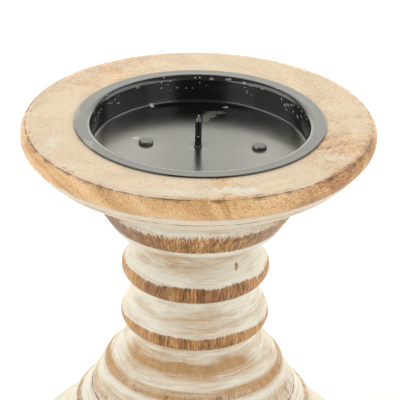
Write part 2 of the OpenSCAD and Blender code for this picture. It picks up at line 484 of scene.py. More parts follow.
def round_axis(turn, radius, depth):
    """A place in metres from a direction in degrees, a radius and a depth under the plate's top in mm."""
    angle = math.radians(turn)
    return Vector((radius * math.cos(angle) * MM, radius * math.sin(angle) * MM, PLATE_TOP - depth * MM))

# %% [markdown]
# ## Wood, streaks and paint as node groups
#
# The wood is a solid pattern, so it goes right through a piece as real grain does. Growth rings are slow
# waves round a distant middle, fibres are noise that is stretched along the grain, and pores are its
# darkest, longest flecks. The group expects a position whose Z runs along the grain.

# %% Timber group
timber, given, result = open_group(
    "timber", {"Vector": (VECTOR, None), "Ring Width": (FLOAT, 0.004)},
    {"Figure": FLOAT, "Fibres": FLOAT, "Pores": FLOAT})
warp = noisy(timber, given["Vector"], 18.0, 2.0)
flat = vectors(timber, "MULTIPLY", given["Vector"], (1.0, 1.0, 0.06)).outputs[0]
away = vectors(timber, "LENGTH", flat).outputs["Value"]
rings = maths(timber, "DIVIDE", away, given["Ring Width"])
rings = maths(timber, "MULTIPLY_ADD", warp, 5.0, rings)
figure = add(timber, "ShaderNodeTexNoise", {"W": rings, "Scale": 1.0, "Detail": 2.0, "Roughness": 0.6},
             noise_dimensions="1D").outputs["Fac"]
fine = vectors(timber, "MULTIPLY", given["Vector"], (2900.0, 2900.0, 150.0)).outputs[0]
fibres = noisy(timber, fine, 1.0, 3.0, Roughness=0.65)
open_pores = vectors(timber, "MULTIPLY", given["Vector"], (2300.0, 2300.0, 190.0)).outputs[0]
pores = noisy(timber, open_pores, 1.0, 1.0, Roughness=0.5)
for socket, value in (("Figure", spread(timber, figure, 0.25, 0.75)),
                      ("Fibres", spread(timber, fibres, 0.2, 0.8)),
                      ("Pores", spread(timber, pores, 0.55, 0.7))):
    timber.links.new(value, result[socket])

# %% [markdown]
# Streaks run round the piece: they come from the brush and the cloth held to the turning wood. Four-
# dimensional noise makes them. Three numbers are the direction round the axis, slowed down, and the fourth
# is the distance along the outline, so a streak is long round the piece and narrow along it.

# %% Streaks group
streaks, given, result = open_group(
    "turning_streaks", {"Vector": (VECTOR, None), "Along": (FLOAT, 0.0)},
    {"Broad": FLOAT, "Fine": FLOAT})
flat = vectors(streaks, "MULTIPLY", given["Vector"], (1.0, 1.0, 0.0)).outputs[0]
round_it = vectors(streaks, "NORMALIZE", flat).outputs[0]
for socket, per_metre, round_scale, detail in (("Broad", 330.0, 1.6, 2.0), ("Fine", 1500.0, 3.2, 3.0)):
    step = maths(streaks, "MULTIPLY", given["Along"], per_metre / round_scale)
    wave = add(streaks, "ShaderNodeTexNoise",
               {"Vector": round_it, "W": step, "Scale": round_scale, "Detail": detail, "Roughness": 0.6},
               noise_dimensions="4D").outputs["Fac"]
    streaks.links.new(spread(streaks, wave, 0.25, 0.75), result[socket])

# %% [markdown]
# White paint covers the wood except where it is bare, and its edge follows the fibres and the streaks. Where
# it is thin, the wood's colour shows through. Paint doesn't bridge open pores, so a few stay dark.

# %% Paint group
lime, given, result = open_group(
    "rubbed_paint",
    {"Wood": (COLOUR, (0.5, 0.3, 0.15, 1.0)), "Stain": (COLOUR, (0.5, 0.4, 0.25, 1.0)),
     "Paint": (COLOUR, (0.8, 0.75, 0.65, 1.0)),
     "Bare": (FLOAT, 0.0), "Thin": (FLOAT, 0.0), "Fibres": (FLOAT, 0.5), "Pores": (FLOAT, 0.0),
     "Broad": (FLOAT, 0.5), "Fine": (FLOAT, 0.5), "Ragged": (FLOAT, 0.8), "Pores Stay": (FLOAT, 0.5),
     "Streaks": (FLOAT, 0.7), "Grain Shows": (FLOAT, 0.25), "Limed": (FLOAT, 0.0),
     "Wood Shows": (FLOAT, 0.3)},
    {"Colour": COLOUR, "Cover": FLOAT, "Height": FLOAT})
cover = maths(lime, "SUBTRACT", 1.0, given["Bare"])
cover = maths(lime, "MULTIPLY_ADD", given["Limed"], 0.6, cover)
rough_edge = maths(lime, "SUBTRACT", given["Fibres"], 0.5)
cover = maths(lime, "MULTIPLY_ADD", rough_edge, given["Ragged"], cover)
cover = maths(lime, "MULTIPLY_ADD", maths(lime, "SUBTRACT", given["Fine"], 0.5), 0.3, cover)
cover = spread(lime, cover, 0.22, 0.72)
open_pore = maths(lime, "MULTIPLY_ADD", given["Bare"], 1.6, given["Pores Stay"], clamp=True)
open_pore = maths(lime, "MULTIPLY", given["Pores"], open_pore)
cover = maths(lime, "MULTIPLY", cover, maths(lime, "SUBTRACT", 1.0, open_pore))
streaky = maths(lime, "MULTIPLY", maths(lime, "SUBTRACT", given["Fine"], 0.5), 0.7)
streaky = maths(lime, "ADD", streaky, maths(lime, "SUBTRACT", given["Broad"], 0.5))
veil = maths(lime, "MULTIPLY_ADD", streaky, given["Streaks"], given["Thin"])
veil = maths(lime, "MULTIPLY_ADD", maths(lime, "SUBTRACT", given["Fibres"], 0.5),
             given["Grain Shows"], veil)
veil = maths(lime, "SUBTRACT", veil, given["Limed"])
veil = maths(lime, "SUBTRACT", 1.0, maths(lime, "MULTIPLY", veil, 1.0, clamp=True))
opaque = maths(lime, "MULTIPLY", cover, veil)
under = blend(lime, given["Wood Shows"], given["Stain"], given["Wood"])
cool = maths(lime, "MULTIPLY", given["Fine"], 0.36)
white = blend(lime, cool, given["Paint"], srgb(209, 209, 198))
washed = blend(lime, veil, under, white)
lime.links.new(blend(lime, cover, given["Wood"], washed), result["Colour"])
lime.links.new(cover, result["Cover"])
thick = maths(lime, "MULTIPLY_ADD", given["Fine"], 0.35, opaque)
lime.links.new(maths(lime, "MULTIPLY_ADD", given["Pores"], -0.8, thick), result["Height"])

# %% [markdown]
# Thin, broken dark lines are painted in the hollows between the rings and at the feet of rings: painted
# shade, as under the cup's white ring, where the cup hangs over the neck.

# %% Painted hollow shade group
painted_hollow_shade, given, result = open_group(
    "painted_hollow_shade", {"Colour": (COLOUR, None), "Vector": (VECTOR, None), "Hollow": (FLOAT, 0.0),
              "Amount": (FLOAT, 0.75)}, {"Colour": COLOUR})
broken = noisy(painted_hollow_shade, given["Vector"], 300.0, 3.0)
shade_amount = maths(painted_hollow_shade, "MULTIPLY_ADD", maths(painted_hollow_shade, "SUBTRACT", broken, 0.5), 1.6, given["Hollow"])
shade_amount = maths(painted_hollow_shade, "MULTIPLY", shade_amount, spread(painted_hollow_shade, given["Hollow"], 0.05, 0.3))
shade_amount = maths(painted_hollow_shade, "MULTIPLY", spread(painted_hollow_shade, shade_amount, 0.35, 0.95), given["Amount"])
painted_hollow_shade.links.new(blend(painted_hollow_shade, shade_amount, given["Colour"], srgb(88, 56, 31)), result["Colour"])

# %% [markdown]
# ## The finish of the wooden pieces
#
# Plate, stem and base share one recipe with their own colours. The plate's grain lies flat and runs
# slantwise; the grain of stem and base stands upright.

# %% Turned wood material
HUG_R = 0.027


def attribute(tree, name):
    return add(tree, "ShaderNodeAttribute", attribute_name=name).outputs["Fac"]


def grain_position(tree, along, across, offset, shorten, hug):
    """Object coordinates turned so that Z runs along the grain, seen from the log's middle."""
    here = add(tree, "ShaderNodeTexCoord").outputs["Object"]
    place = here
    if hug:
        # the hatching follows the turned shape, so the distance from the axis counts for little
        flat = vectors(tree, "MULTIPLY", here, (1.0, 1.0, 0.0)).outputs[0]
        round_it = vectors(tree, "NORMALIZE", flat).outputs[0]
        place = vectors(tree, "MULTIPLY", round_it, (HUG_R,) * 3).outputs[0]
        place = vectors(tree, "MULTIPLY_ADD", here, (0.1, 0.1, 1.0), place).outputs[0]
    along, across = Vector(along).normalized(), Vector(across).normalized()
    parts = [vectors(tree, "DOT_PRODUCT", place, tuple(axis)).outputs["Value"]
             for axis in (across, along.cross(across), along)]
    turned = add(tree, "ShaderNodeCombineXYZ", {0: parts[0], 1: parts[1], 2: parts[2]}).outputs[0]
    moved = vectors(tree, "ADD", turned, offset).outputs[0]
    scaled = vectors(tree, "MULTIPLY", moved, (1.0, 1.0, shorten))
    return here, scaled.outputs[0]


def turned_wood(name, grain, paint, cover):
    """Grain under rubbed paint, with painted shade in the hollows."""
    material, tree, shader = new_material(name)
    here, position = grain_position(tree, grain["along"], grain["across"], grain["offset"], grain["shorten"],
                                    grain["hug"])
    wood = place_group(tree, timber, {"Vector": position, "Ring Width": grain["ring_width"]})
    streak = place_group(tree, streaks, {"Vector": here, "Along": attribute(tree, "along")})
    blotch = noisy(tree, here, 60.0, 3.0)
    tone = maths(tree, "MULTIPLY", wood.outputs["Figure"], grain["figure"])
    tone = maths(tree, "MULTIPLY_ADD", wood.outputs["Fibres"], grain["fibres"], tone)
    tone = maths(tree, "MULTIPLY_ADD", blotch, 1.0 - grain["figure"] - grain["fibres"], tone)
    # the layer deep moves the wood towards darker stops; at the stem's front this is painted shade
    ramp = add(tree, "ShaderNodeValToRGB", {"Fac": maths(tree, "SUBTRACT", tone, attribute(tree, "deep"))})
    for place, colour in zip((0.15, 0.43, 0.72), grain["colours"]):
        stop = ramp.color_ramp.elements.new(place)
        stop.color = colour
    ramp.color_ramp.elements.remove(ramp.color_ramp.elements[-1])
    ramp.color_ramp.elements.remove(ramp.color_ramp.elements[0])
    bare_wood = blend(tree, maths(tree, "MULTIPLY", wood.outputs["Pores"], grain["pores"]),
                      ramp.outputs["Color"], grain["colours"][0])
    coat = place_group(tree, lime, {
        "Wood": bare_wood, "Stain": grain["stain"], "Paint": paint,
        "Bare": attribute(tree, "bare"), "Thin": attribute(tree, "thin"),
        "Limed": attribute(tree, "limed"), "Fibres": wood.outputs["Fibres"], "Pores": wood.outputs["Pores"],
        "Broad": streak.outputs["Broad"], "Fine": streak.outputs["Fine"], **cover})
    # painted shade: the colour is darkened where the hollow and line layers meet and along the layer named
    # stain, which also holds one real dark dot on the dome
    line = maths(tree, "MULTIPLY", attribute(tree, "hollow"), attribute(tree, "line"))
    line = maths(tree, "ADD", line, attribute(tree, "stain"), clamp=True)
    shaded_colour = place_group(tree, painted_hollow_shade, {"Colour": coat.outputs["Colour"], "Vector": here, "Hollow": line})
    tree.links.new(shaded_colour.outputs["Colour"], shader.inputs["Base Color"])
    shine = spread(tree, coat.outputs["Cover"], 0.0, 1.0, 0.36, 0.58)
    shine = maths(tree, "MULTIPLY_ADD", wood.outputs["Fibres"], 0.12, shine)
    tree.links.new(shine, shader.inputs["Roughness"])
    relief = maths(tree, "MULTIPLY_ADD", wood.outputs["Fibres"], 0.3, coat.outputs["Height"])
    bump = add(tree, "ShaderNodeBump", {"Strength": 0.35, "Distance": 0.12 * MM, "Height": relief})
    tree.links.new(bump.outputs["Normal"], shader.inputs["Normal"])
    shader.inputs["Specular IOR Level"].default_value = 0.4
    return material


WHITE_PAINT = srgb(228, 222, 204)
plate_wood = turned_wood(
    "sanded_plate_wood",
    dict(along=(0.68, 0.73, 0.0), across=(0.73, -0.68, 0.0), offset=(0.02, 0.09, 0.0),
         ring_width=0.006, shorten=3.2, hug=False,
         stain=srgb(220, 184, 138), figure=0.25, fibres=0.45, pores=0.55,
         colours=(srgb(150, 94, 48), srgb(218, 173, 118), srgb(238, 202, 154))),
    WHITE_PAINT, {"Ragged": 0.5, "Pores Stay": 0.1, "Streaks": 0.1, "Grain Shows": 0.6,
                  "Wood Shows": 0.7})
stem_wood = turned_wood(
    "rubbed_stem_wood",
    dict(along=(0.0, 0.02, 1.0), across=(1.0, 0.0, 0.0), offset=(0.05, 0.03, 0.0),
         ring_width=0.004, shorten=1.6, hug=True,
         stain=srgb(182, 146, 101), figure=0.18, fibres=0.62, pores=0.75,
         colours=(srgb(100, 60, 28), srgb(178, 128, 76), srgb(222, 178, 122))),
    WHITE_PAINT, {"Ragged": 0.45, "Pores Stay": 0.04, "Streaks": 0.6, "Grain Shows": 0.1, "Wood Shows": 0.3})
base_wood = turned_wood(
    "rubbed_base_wood",
    dict(along=(0.03, 0.0, 1.0), across=(0.0, 1.0, 0.0), offset=(-0.04, 0.06, 0.0),
         ring_width=0.004, shorten=1.6, hug=True,
         stain=srgb(182, 146, 101), figure=0.25, fibres=0.5, pores=0.7,
         colours=(srgb(104, 64, 32), srgb(180, 130, 80), srgb(222, 178, 124))),
    WHITE_PAINT, {"Ragged": 0.45, "Pores Stay": 0.03, "Streaks": 0.5, "Grain Shows": 0.1, "Wood Shows": 0.3})
print("three finishes share", len(bpy.data.node_groups), "node groups")

# %% [markdown]
# ## Lacquered steel
#
# The pan was dipped in black lacquer. Lacquer flows, so its gloss is uneven, and the well keeps specks of
# dust and plaster. One group makes the specks: small cells, of which only a few are filled.

# %% Dust group
dust, given, result = open_group(
    "dust_specks", {"Vector": (VECTOR, None), "Size": (FLOAT, 1200.0), "Share": (FLOAT, 0.1)},
    {"Specks": FLOAT})
cells = add(dust, "ShaderNodeTexVoronoi", {"Vector": given["Vector"], "Scale": given["Size"]})
lot = add(dust, "ShaderNodeSeparateColor", {"Color": cells.outputs["Color"]}).outputs["Red"]
chosen = maths(dust, "LESS_THAN", lot, given["Share"])
small = spread(dust, cells.outputs["Distance"], 0.36, 0.16)
dust.links.new(maths(dust, "MULTIPLY", chosen, small), result["Specks"])

# %% Lacquer material
def lacquered(name, colour, gloss, dust_share=0.0, wear_and_sheen=False):
    """Black lacquer with uneven gloss, fine orange peel and dust; on the pan also scuff marks, chips and a
    painted sheen.
    """
    material, tree, shader = new_material(name)
    here = add(tree, "ShaderNodeTexCoord").outputs["Object"]
    cloud = noisy(tree, here, 70.0, 4.0)
    peel = noisy(tree, here, 900.0, 2.0)
    specks = place_group(tree, dust, {"Vector": here, "Share": dust_share}).outputs["Specks"]
    if wear_and_sheen:
        specks = maths(tree, "MULTIPLY", specks, attribute(tree, "dusty"))
    paint = blend(tree, maths(tree, "MULTIPLY", cloud, 0.5), colour, (0.011, 0.01, 0.007, 1.0))
    shine = spread(tree, cloud, 0.3, 0.7, gloss - 0.03, gloss + 0.04)
    if wear_and_sheen:
        worn = maths(tree, "MULTIPLY", attribute(tree, "scuff"),
                     spread(tree, peel, 0.3, 0.6, 0.8, 1.0))
        # painted sheen: where the layer says so the black turns grey, standing in for light that the floor
        # reflects
        sheen_share = maths(tree, "MULTIPLY", attribute(tree, "painted_sheen"), spread(tree, cloud, 0.3, 0.7, 0.7, 1.0))
        paint = blend(tree, sheen_share, paint, srgb(150, 147, 132))
        paint = blend(tree, worn, paint, srgb(150, 147, 134))
        shine = maths(tree, "MULTIPLY_ADD", worn, 0.3, shine)
        specks = maths(tree, "MAXIMUM", specks, attribute(tree, "dab"))
    paint = blend(tree, specks, paint, srgb(226, 222, 210))
    tree.links.new(paint, shader.inputs["Base Color"])
    tree.links.new(maths(tree, "MULTIPLY_ADD", specks, 0.4, shine), shader.inputs["Roughness"])
    relief = maths(tree, "MULTIPLY_ADD", specks, 2.0, maths(tree, "MULTIPLY", peel, 0.25))
    bump = add(tree, "ShaderNodeBump", {"Strength": 0.1, "Distance": 0.03 * MM, "Height": relief})
    tree.links.new(bump.outputs["Normal"], shader.inputs["Normal"])
    shader.inputs["Specular IOR Level"].default_value = 0.8
    return material


pan_lacquer = lacquered("black_pan_lacquer", (0.004, 0.0035, 0.002, 1.0), 0.21, 0.12, wear_and_sheen=True)
spike_lacquer = lacquered("black_spike_lacquer", (0.008, 0.007, 0.006, 1.0), 0.22, 0.02)
nail_finish = lacquered("worn_nail_heads", (0.05, 0.048, 0.042, 1.0), 0.32, 0.08)

# %% Zinc and felt materials
zinc, tree, shader = new_material("zinc_plate")
here = add(tree, "ShaderNodeTexCoord").outputs["Object"]
spangle = add(tree, "ShaderNodeTexVoronoi", {"Vector": here, "Scale": 900.0}).outputs["Color"]
level = add(tree, "ShaderNodeSeparateColor", {"Color": spangle}).outputs["Green"]
cloud = noisy(tree, here, 300.0, 4.0)
mixed = maths(tree, "MULTIPLY_ADD", level, 0.4, maths(tree, "MULTIPLY", cloud, 0.6))
tree.links.new(blend(tree, mixed, srgb(150, 148, 140), srgb(205, 200, 186)), shader.inputs["Base Color"])
tree.links.new(spread(tree, mixed, 0.2, 0.8, 0.25, 0.5), shader.inputs["Roughness"])
shader.inputs["Metallic"].default_value = 1.0

felt, tree, shader = new_material("pressed_felt")
here = add(tree, "ShaderNodeTexCoord").outputs["Object"]
mat = noisy(tree, here, 2600.0, 4.0, Roughness=0.7, Distortion=1.5)
clump = noisy(tree, here, 320.0, 3.0)
mixed = maths(tree, "MULTIPLY_ADD", mat, 0.65, maths(tree, "MULTIPLY", clump, 0.35))
tree.links.new(blend(tree, mixed, srgb(62, 42, 28), srgb(132, 98, 70)), shader.inputs["Base Color"])
tree.links.new(spread(tree, mixed, 0.2, 0.8, 0.85, 1.0), shader.inputs["Roughness"])
bump = add(tree, "ShaderNodeBump", {"Strength": 0.8, "Distance": 0.2 * MM, "Height": mixed})
tree.links.new(bump.outputs["Normal"], shader.inputs["Normal"])
shader.inputs["Sheen Weight"].default_value = 0.4

# %% [markdown]
# ## Stem
#
# The stem is one turning between centres: a cup under the plate, two beads, a dome and a collar. The crests
# are rubbed to the wood, and the shoulders keep their white.

# %% Stem
STEM_BARE = [
    rub(26.8, 36.4, 0.85, fade=3.2, foot_fade=0.5, wander=1.6),
    rub(21.0, 36.4, 0.75, fade=2.5, foot_fade=0.5, wander=2.0, middle=-168.0, reach=46.0),
    rub(21.5, 36.4, 0.7, fade=2.5, foot_fade=0.5, wander=2.0, middle=-14.0, reach=40.0),
    rub(21.0, 36.4, 0.7, fade=2.5, foot_fade=0.5, wander=2.0, middle=80.0, reach=40.0),
    rub(54.2, 60.6, 1.0, fade=0.8, foot_fade=0.5, wander=1.1),
    rub(74.4, 79.3, 1.0, fade=0.7, foot_fade=0.5, wander=0.8),
    rub(95.3, 97.4, 0.45, fade=0.5, foot_fade=0.4, wander=0.6),
    rub(102.5, 107.0, 0.42, fade=1.5, wander=2.0, middle=-150.0, reach=35.0),
    rub(102.0, 107.0, 0.42, fade=1.5, wander=2.0, middle=-30.0, reach=30.0),
    rub(112.4, 113.6, 0.7, fade=0.4, wander=0.3),
]
STEM_THIN_AND_SHADE = [
    rub(19.0, 27.5, 0.34, fade=1.5, wander=1.5),
    rub(38.2, 47.5, 0.38, fade=1.5, wander=1.5),
    rub(38.2, 49.0, 0.55, fade=2.5, wander=2.0, middle=-105.0, reach=60.0),
    rub(64.0, 74.5, 0.18, fade=2.0, wander=2.0),
    rub(65.0, 73.0, 0.42, fade=2.0, wander=2.0, middle=-85.0, reach=45.0),
    # painted shade: the band under bead 2 gets thin paint, so it looks greyer, as shade under the bead's
    # crest
    rub(79.5, 82.8, 0.4, fade=0.6, wander=0.4),
    rub(84.5, 91.0, 1.0, fade=3.6, wander=2.6, middle=-96.0, reach=80.0),
    rub(85.0, 92.0, 0.7, fade=2.8, wander=2.0, middle=80.0, reach=80.0),
    rub(84.0, 95.0, 0.25, fade=2.5, wander=2.0),
    rub(93.9, 97.6, 0.85, fade=0.8, wander=0.6),
    rub(100.5, 107.5, 0.5, fade=1.5, wander=1.0, middle=-150.0, reach=70.0),
    rub(100.5, 107.5, 0.4, fade=1.5, wander=1.0, middle=-20.0, reach=60.0),
    rub(100.5, 107.5, 0.3, fade=1.5, wander=1.0),
    rub(108.0, 112.5, 0.12, fade=1.0, wander=1.0),
]
# painted shade: entries with their middle near -90 degrees darken the front of the cup band and of both
# beads' crests, the side towards the camera that gets least light; the others give a deeper wood tone in
# places
STEM_DEEP_AND_FRONT_SHADE = [
    rub(27.0, 37.0, 0.24, fade=3.0, wander=1.5, middle=-145.0, reach=42.0),
    rub(27.0, 37.0, 0.1, fade=3.0, wander=1.5, middle=-90.0, reach=60.0),
    rub(27.0, 37.0, 0.16, fade=3.0, wander=1.5, middle=-52.0, reach=24.0),
    rub(53.0, 61.5, 0.2, fade=1.0, wander=0.5, middle=-88.0, reach=58.0),
    rub(74.0, 80.0, 0.12, fade=1.0, wander=0.5, middle=-85.0, reach=45.0),
    rub(112.0, 114.0, 0.25, fade=0.5, wander=0.3),
]
# painted shade: thin dark lines in the hollows and at the feet of the rings, strongest under the cup's white
# ring
STEM_LINES = [
    groove(39.4, 41.0, 1.0),
    groove(107.0, 108.4, 1.0),
]
STEM_RING_SHADE = [
    groove(39.2, 39.9, 1.0, fade=0.25),
    groove(60.9, 61.4, 0.35),
    groove(84.2, 84.5, 0.35),
    groove(97.7, 98.0, 0.5),
    groove(99.9, 100.2, 0.55),
    groove(107.4, 107.8, 0.7),
    groove(112.9, 113.2, 0.5),
]


# nearer the axis than this lie only bores and joints
BORED_R = 15 * MM


def stem_shows(co):
    return math.hypot(co.x, co.y) > BORED_R and STEM_FOOT <= co.z <= PLATE_UNDER


skin = turn_wood("stem", 0.45 * MM, stem_shows, 3)
paint_plan(skin, bare=STEM_BARE, thin=STEM_THIN_AND_SHADE, deep=STEM_DEEP_AND_FRONT_SHADE, line=STEM_LINES,
           stain=STEM_RING_SHADE)
daub(skin, "bare", [(round_axis(-50.0, 22.8, 48.6), (0.6 * MM, 2.4 * MM, 2.4 * MM), 1.0)])
daub(skin, "stain", [(round_axis(-77.0, 29.6, 90.6), (0.55 * MM, 0.8 * MM, 0.6 * MM), 1.0)])
to_piece("turned_stem", skin, stem_wood, "stem_wood", "stem")

# %% [markdown]
# ## Top plate
#
# The plate is faced flat and its edge is turned to a round band over a white lip. Its top is limed: white
# was wiped on and off again, so it stays only as a veil and in the pores.

# %% Top plate
PLATE_BARE = [
    rub(0.15, 8.3, 1.0, fade=0.25, wander=0.3),
    rub(15.8, 17.4, 0.35, fade=0.5, wander=0.6),
]
PLATE_THIN = [
    rub(-3.0, 0.2, 0.5, fade=0.1, wander=0.0),
    rub(8.6, 16.0, 0.3, fade=0.5, wander=1.0),
    rub(16.0, 20.0, 0.25, fade=0.5, wander=1.0),
]
PLATE_DEEP = [
    rub(0.2, 8.4, 0.24, fade=0.5, wander=0.3, middle=-34.0, reach=30.0),
]
# painted shade: dark lines at the foot of the edge band, on the plate's underside and where it meets the cup
PLATE_RING_SHADE = [
    groove(8.3, 8.7, 0.5, fade=0.25),
    groove(11.2, 11.8, 0.8, fade=0.25),
    groove(17.0, 17.6, 1.0, fade=0.25),
    groove(19.1, 19.7, 1.0, fade=0.25),
]
# painted shade in the hollows at these depths
PLATE_LINES = [
    groove(-1.0, 1.2, 2.0, fade=0.2),
    groove(8.0, 9.2, 1.0, fade=0.2),
    groove(10.8, 12.2, 1.0),
    groove(16.8, 17.8, 1.2, fade=0.2),
    groove(19.0, 19.8, 1.2, fade=0.2),
]


RECESS_R = 41 * MM
TOP_SHIFT = 0.2
EDGE_SHIFT = 0.55


def plate_shows(co):
    return math.hypot(co.x, co.y) > RECESS_R


skin = turn_wood("top_plate", 0.5 * MM, plate_shows, 2, rings=0.03 * MM)
press(skin, chips(3, 10, 62.6 * MM, PLATE_TOP - 1.2 * MM, 1.8 * MM, 0.3 * MM))
paint_plan(skin, bare=PLATE_BARE, thin=PLATE_THIN, deep=PLATE_DEEP, line=PLATE_LINES,
           stain=PLATE_RING_SHADE)
# the edge was turned in a second fixing, a little off the first
for v in [v for v in skin.verts if plate_shows(v.co)]:
    depth = (PLATE_TOP - v.co.z) / MM
    low = soft(depth, 4.0, 8.0) * (1.0 - soft(depth, 14.0, 18.0))
    v.co.x += (TOP_SHIFT * (1.0 - soft(depth, 2.0, 6.0)) - EDGE_SHIFT * low) * MM
# white that was left near the edge, and places where a hand has worn the veil away
daub(skin, "limed", [
    (round_axis(-76.0, 56.5, 0.0), (9 * MM, 3.0 * MM, 2 * MM), 0.45),
    (round_axis(-98.0, 57.0, 0.0), (8 * MM, 2.2 * MM, 2 * MM), 0.25),
    (round_axis(-158.0, 55.0, 0.0), (2.5 * MM, 6.0 * MM, 2 * MM), 0.25),
    (round_axis(-30.0, 55.0, 0.0), (6 * MM, 3.0 * MM, 2 * MM), 0.2)], ragged=0.8)
LEFT_WHITE = ((-150.0, 6.8), (-143.0, 7.6), (-136.0, 7.4), (150.0, 5.0), (60.0, 7.0))
daub(skin, "limed", [(round_axis(turn, 62.6, depth), (3 * MM, 3 * MM, 1.2 * MM), 1.0)
                     for turn, depth in LEFT_WHITE], ragged=0.9)
to_piece("turned_plate", skin, plate_wood, "plate_wood", "top_plate")

# %% [markdown]
# ## Base
#
# The base flares out to a heavy rounded edge. Nothing of it is rubbed as hard as the beads, apart from the
# fullest part of the edge.

# %% Base
BASE_BARE = [
    rub(113.0, 114.3, 0.7, fade=0.4, wander=0.3),
    rub(118.0, 131.0, 0.2, fade=4.0, wander=4.0, middle=-140.0, reach=50.0),
    rub(118.0, 131.0, 0.2, fade=4.0, wander=4.0, middle=20.0, reach=60.0),
    rub(134.4, 138.6, 0.95, fade=0.8, wander=1.2),
    rub(148.0, 150.5, 0.7, fade=0.6, wander=0.8),
]
BASE_THIN = [
    rub(114.0, 133.0, 0.17, fade=3.0, wander=3.0),
    rub(138.0, 150.0, 0.25, fade=2.0, wander=2.0),
    rub(150.0, 160.0, 0.8, fade=0.5, wander=0.3),
]
BASE_DEEP = [
    rub(134.0, 139.0, 0.1, fade=1.0, wander=0.5),
]
# painted shade in the hollow above the base's fullest edge
BASE_LINES = [
    groove(132.0, 135.0, 1.0, fade=0.5),
]


def base_shows(co):
    return math.hypot(co.x, co.y) > BORED_R


skin = turn_wood("base", 0.6 * MM, base_shows, 3)
press(skin, chips(8, 8, 61.0 * MM, PLATE_TOP - 135.0 * MM, 2.2 * MM, 0.3 * MM))
paint_plan(skin, bare=BASE_BARE, thin=BASE_THIN, deep=BASE_DEEP, line=BASE_LINES)
to_piece("turned_base", skin, base_wood, "base_wood", "base")

# %% [markdown]
# ## Pan
#
# The pan lies a little off the plate's middle, so it is spun round its own axis. Its outline is cut where no
# nail goes through. The holes in the floor are left out, because the nails fill them. The section's short
# edge at the middle hole is taken out, and its ends are drawn to the axis.

# %% Pan outline
PAN_LOW, PAN_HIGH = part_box("pan")
PAN_MIDDLE = ((PAN_LOW.x + PAN_HIGH.x) / 2, (PAN_LOW.y + PAN_HIGH.y) / 2)
NAIL_HEAD = 0.9 * MM
NEAR_AXIS = 0.6 * MM


def everywhere(co):
    return True


outline = cut_outline("pan", PAN_MIDDLE)
inner = [v for v in outline.verts if math.hypot(v.co.x, v.co.y) < NEAR_AXIS]
bmesh.ops.delete(outline, context="EDGES",
                 geom=[e for e in outline.edges if all(v in inner for v in e.verts)])
for v in outline.verts:
    if math.hypot(v.co.x, v.co.y) < NEAR_AXIS:
        v.co.x = 0.0
# %% [markdown]
# ### The wall's foot
#
# The press left a fine crease where the wall ends; here only the corner below it is made tighter than a
# quarter round.

# %% Pan, spun
divide(outline, 0.4 * MM, everywhere)
PAN_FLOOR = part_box("pan_nail_left")[1].z - NAIL_HEAD
WELL_R = 38.9 * MM
ROLL_R = 2.8 * MM
TIGHTER = 0.42
FLANGE_WAVE = 0.06 * MM
for v in outline.verts:
    over, out = v.co.z - PAN_FLOOR, v.co.x - (WELL_R - ROLL_R)
    if 0.0 <= over < ROLL_R and 0.0 < out <= ROLL_R * 1.001:
        v.co.x = WELL_R - ROLL_R + ROLL_R * (out / ROLL_R) ** TIGHTER
        v.co.z = PAN_FLOOR + ROLL_R * (1.0 - (1.0 - over / ROLL_R) ** TIGHTER)
measure(outline)
skin = spin(outline, 8)
for v in skin.verts:
    flange = soft(math.hypot(v.co.x, v.co.y), 40 * MM, 44 * MM)
    v.co.z += FLANGE_WAVE * flange * noise.noise(Vector((v.co.x, v.co.y, 0.0)) * 30.0)
bmesh.ops.translate(skin, verts=skin.verts[:], vec=(PAN_MIDDLE[0], PAN_MIDDLE[1], 0.0))


# %% [markdown]
# The nails have drawn the floor down a little. Dust sits on the upper wall, the sides of the floor are
# painted a lighter grey, a painted sheen for light that the floor reflects there, and the lacquer is scuffed
# and chipped in a few places. Each is a layer on the vertices.

# %% Dimples, dust, wear and painted sheen in the pan
def on_floor(x, y):
    return Vector((x * MM, y * MM, PAN_FLOOR))


press(skin, [(on_floor(-18.7, 1.7), 6 * MM, 0.25 * MM), (on_floor(21.9, -0.5), 6 * MM, 0.2 * MM),
             (on_floor(0.0, 0.0), 4.5 * MM, 0.25 * MM), (on_floor(-8.0, -20.0), 16 * MM, 0.12 * MM)])
dusty = skin.verts.layers.float.new("dusty")
for v in skin.verts:
    r, over = math.hypot(v.co.x - PAN_MIDDLE[0], v.co.y - PAN_MIDDLE[1]), v.co.z - PAN_FLOOR
    on_wall = soft(r, 37.5 * MM, 38.5 * MM) * (1.0 - soft(r, 40.3 * MM, 41.5 * MM))
    upper = soft(over, 3.0 * MM, 8.0 * MM)
    clump = soft(noise.noise(v.co * 90.0), -0.1, 0.3)
    v[dusty] = on_wall * (0.1 + 0.9 * upper) * clump
# painted sheen: grey on the floor, most at the left and right, fading towards the back, for light the satin
# floor reflects there
painted_sheen = skin.verts.layers.float.new("painted_sheen")
for v in skin.verts:
    if abs(v.co.z - PAN_FLOOR) < 0.8 * MM:
        v[painted_sheen] = 0.08 + 0.5 * soft(-v.co.x, 4 * MM, 26 * MM) + 0.46 * soft(v.co.x, 8 * MM, 26 * MM)
        v[painted_sheen] *= soft(-v.co.y, -26 * MM, 2 * MM)
daub(skin, "scuff", [
    (round_axis(176.0, 44.0, -0.5), (1.6 * MM, 6.0 * MM, 2 * MM), 0.9),
    (round_axis(-150.0, 44.6, -0.5), (2.5 * MM, 4.0 * MM, 2 * MM), 0.5),
    (on_floor(6.0, 28.6), (4.6 * MM, 1.5 * MM, 1 * MM), 0.4),
    (on_floor(4.0, 26.0), (2.9 * MM, 2.3 * MM, 1 * MM), 0.4),
    (on_floor(2.6, 22.8), (1.5 * MM, 3.0 * MM, 1 * MM), 0.36),
    (on_floor(-6.5, 4.0), (3.0 * MM, 2.0 * MM, 1 * MM), 0.1)], ragged=0.25)
wear = random.Random(21)
PAN_SHIFT = Vector((*PAN_MIDDLE, 0.0))


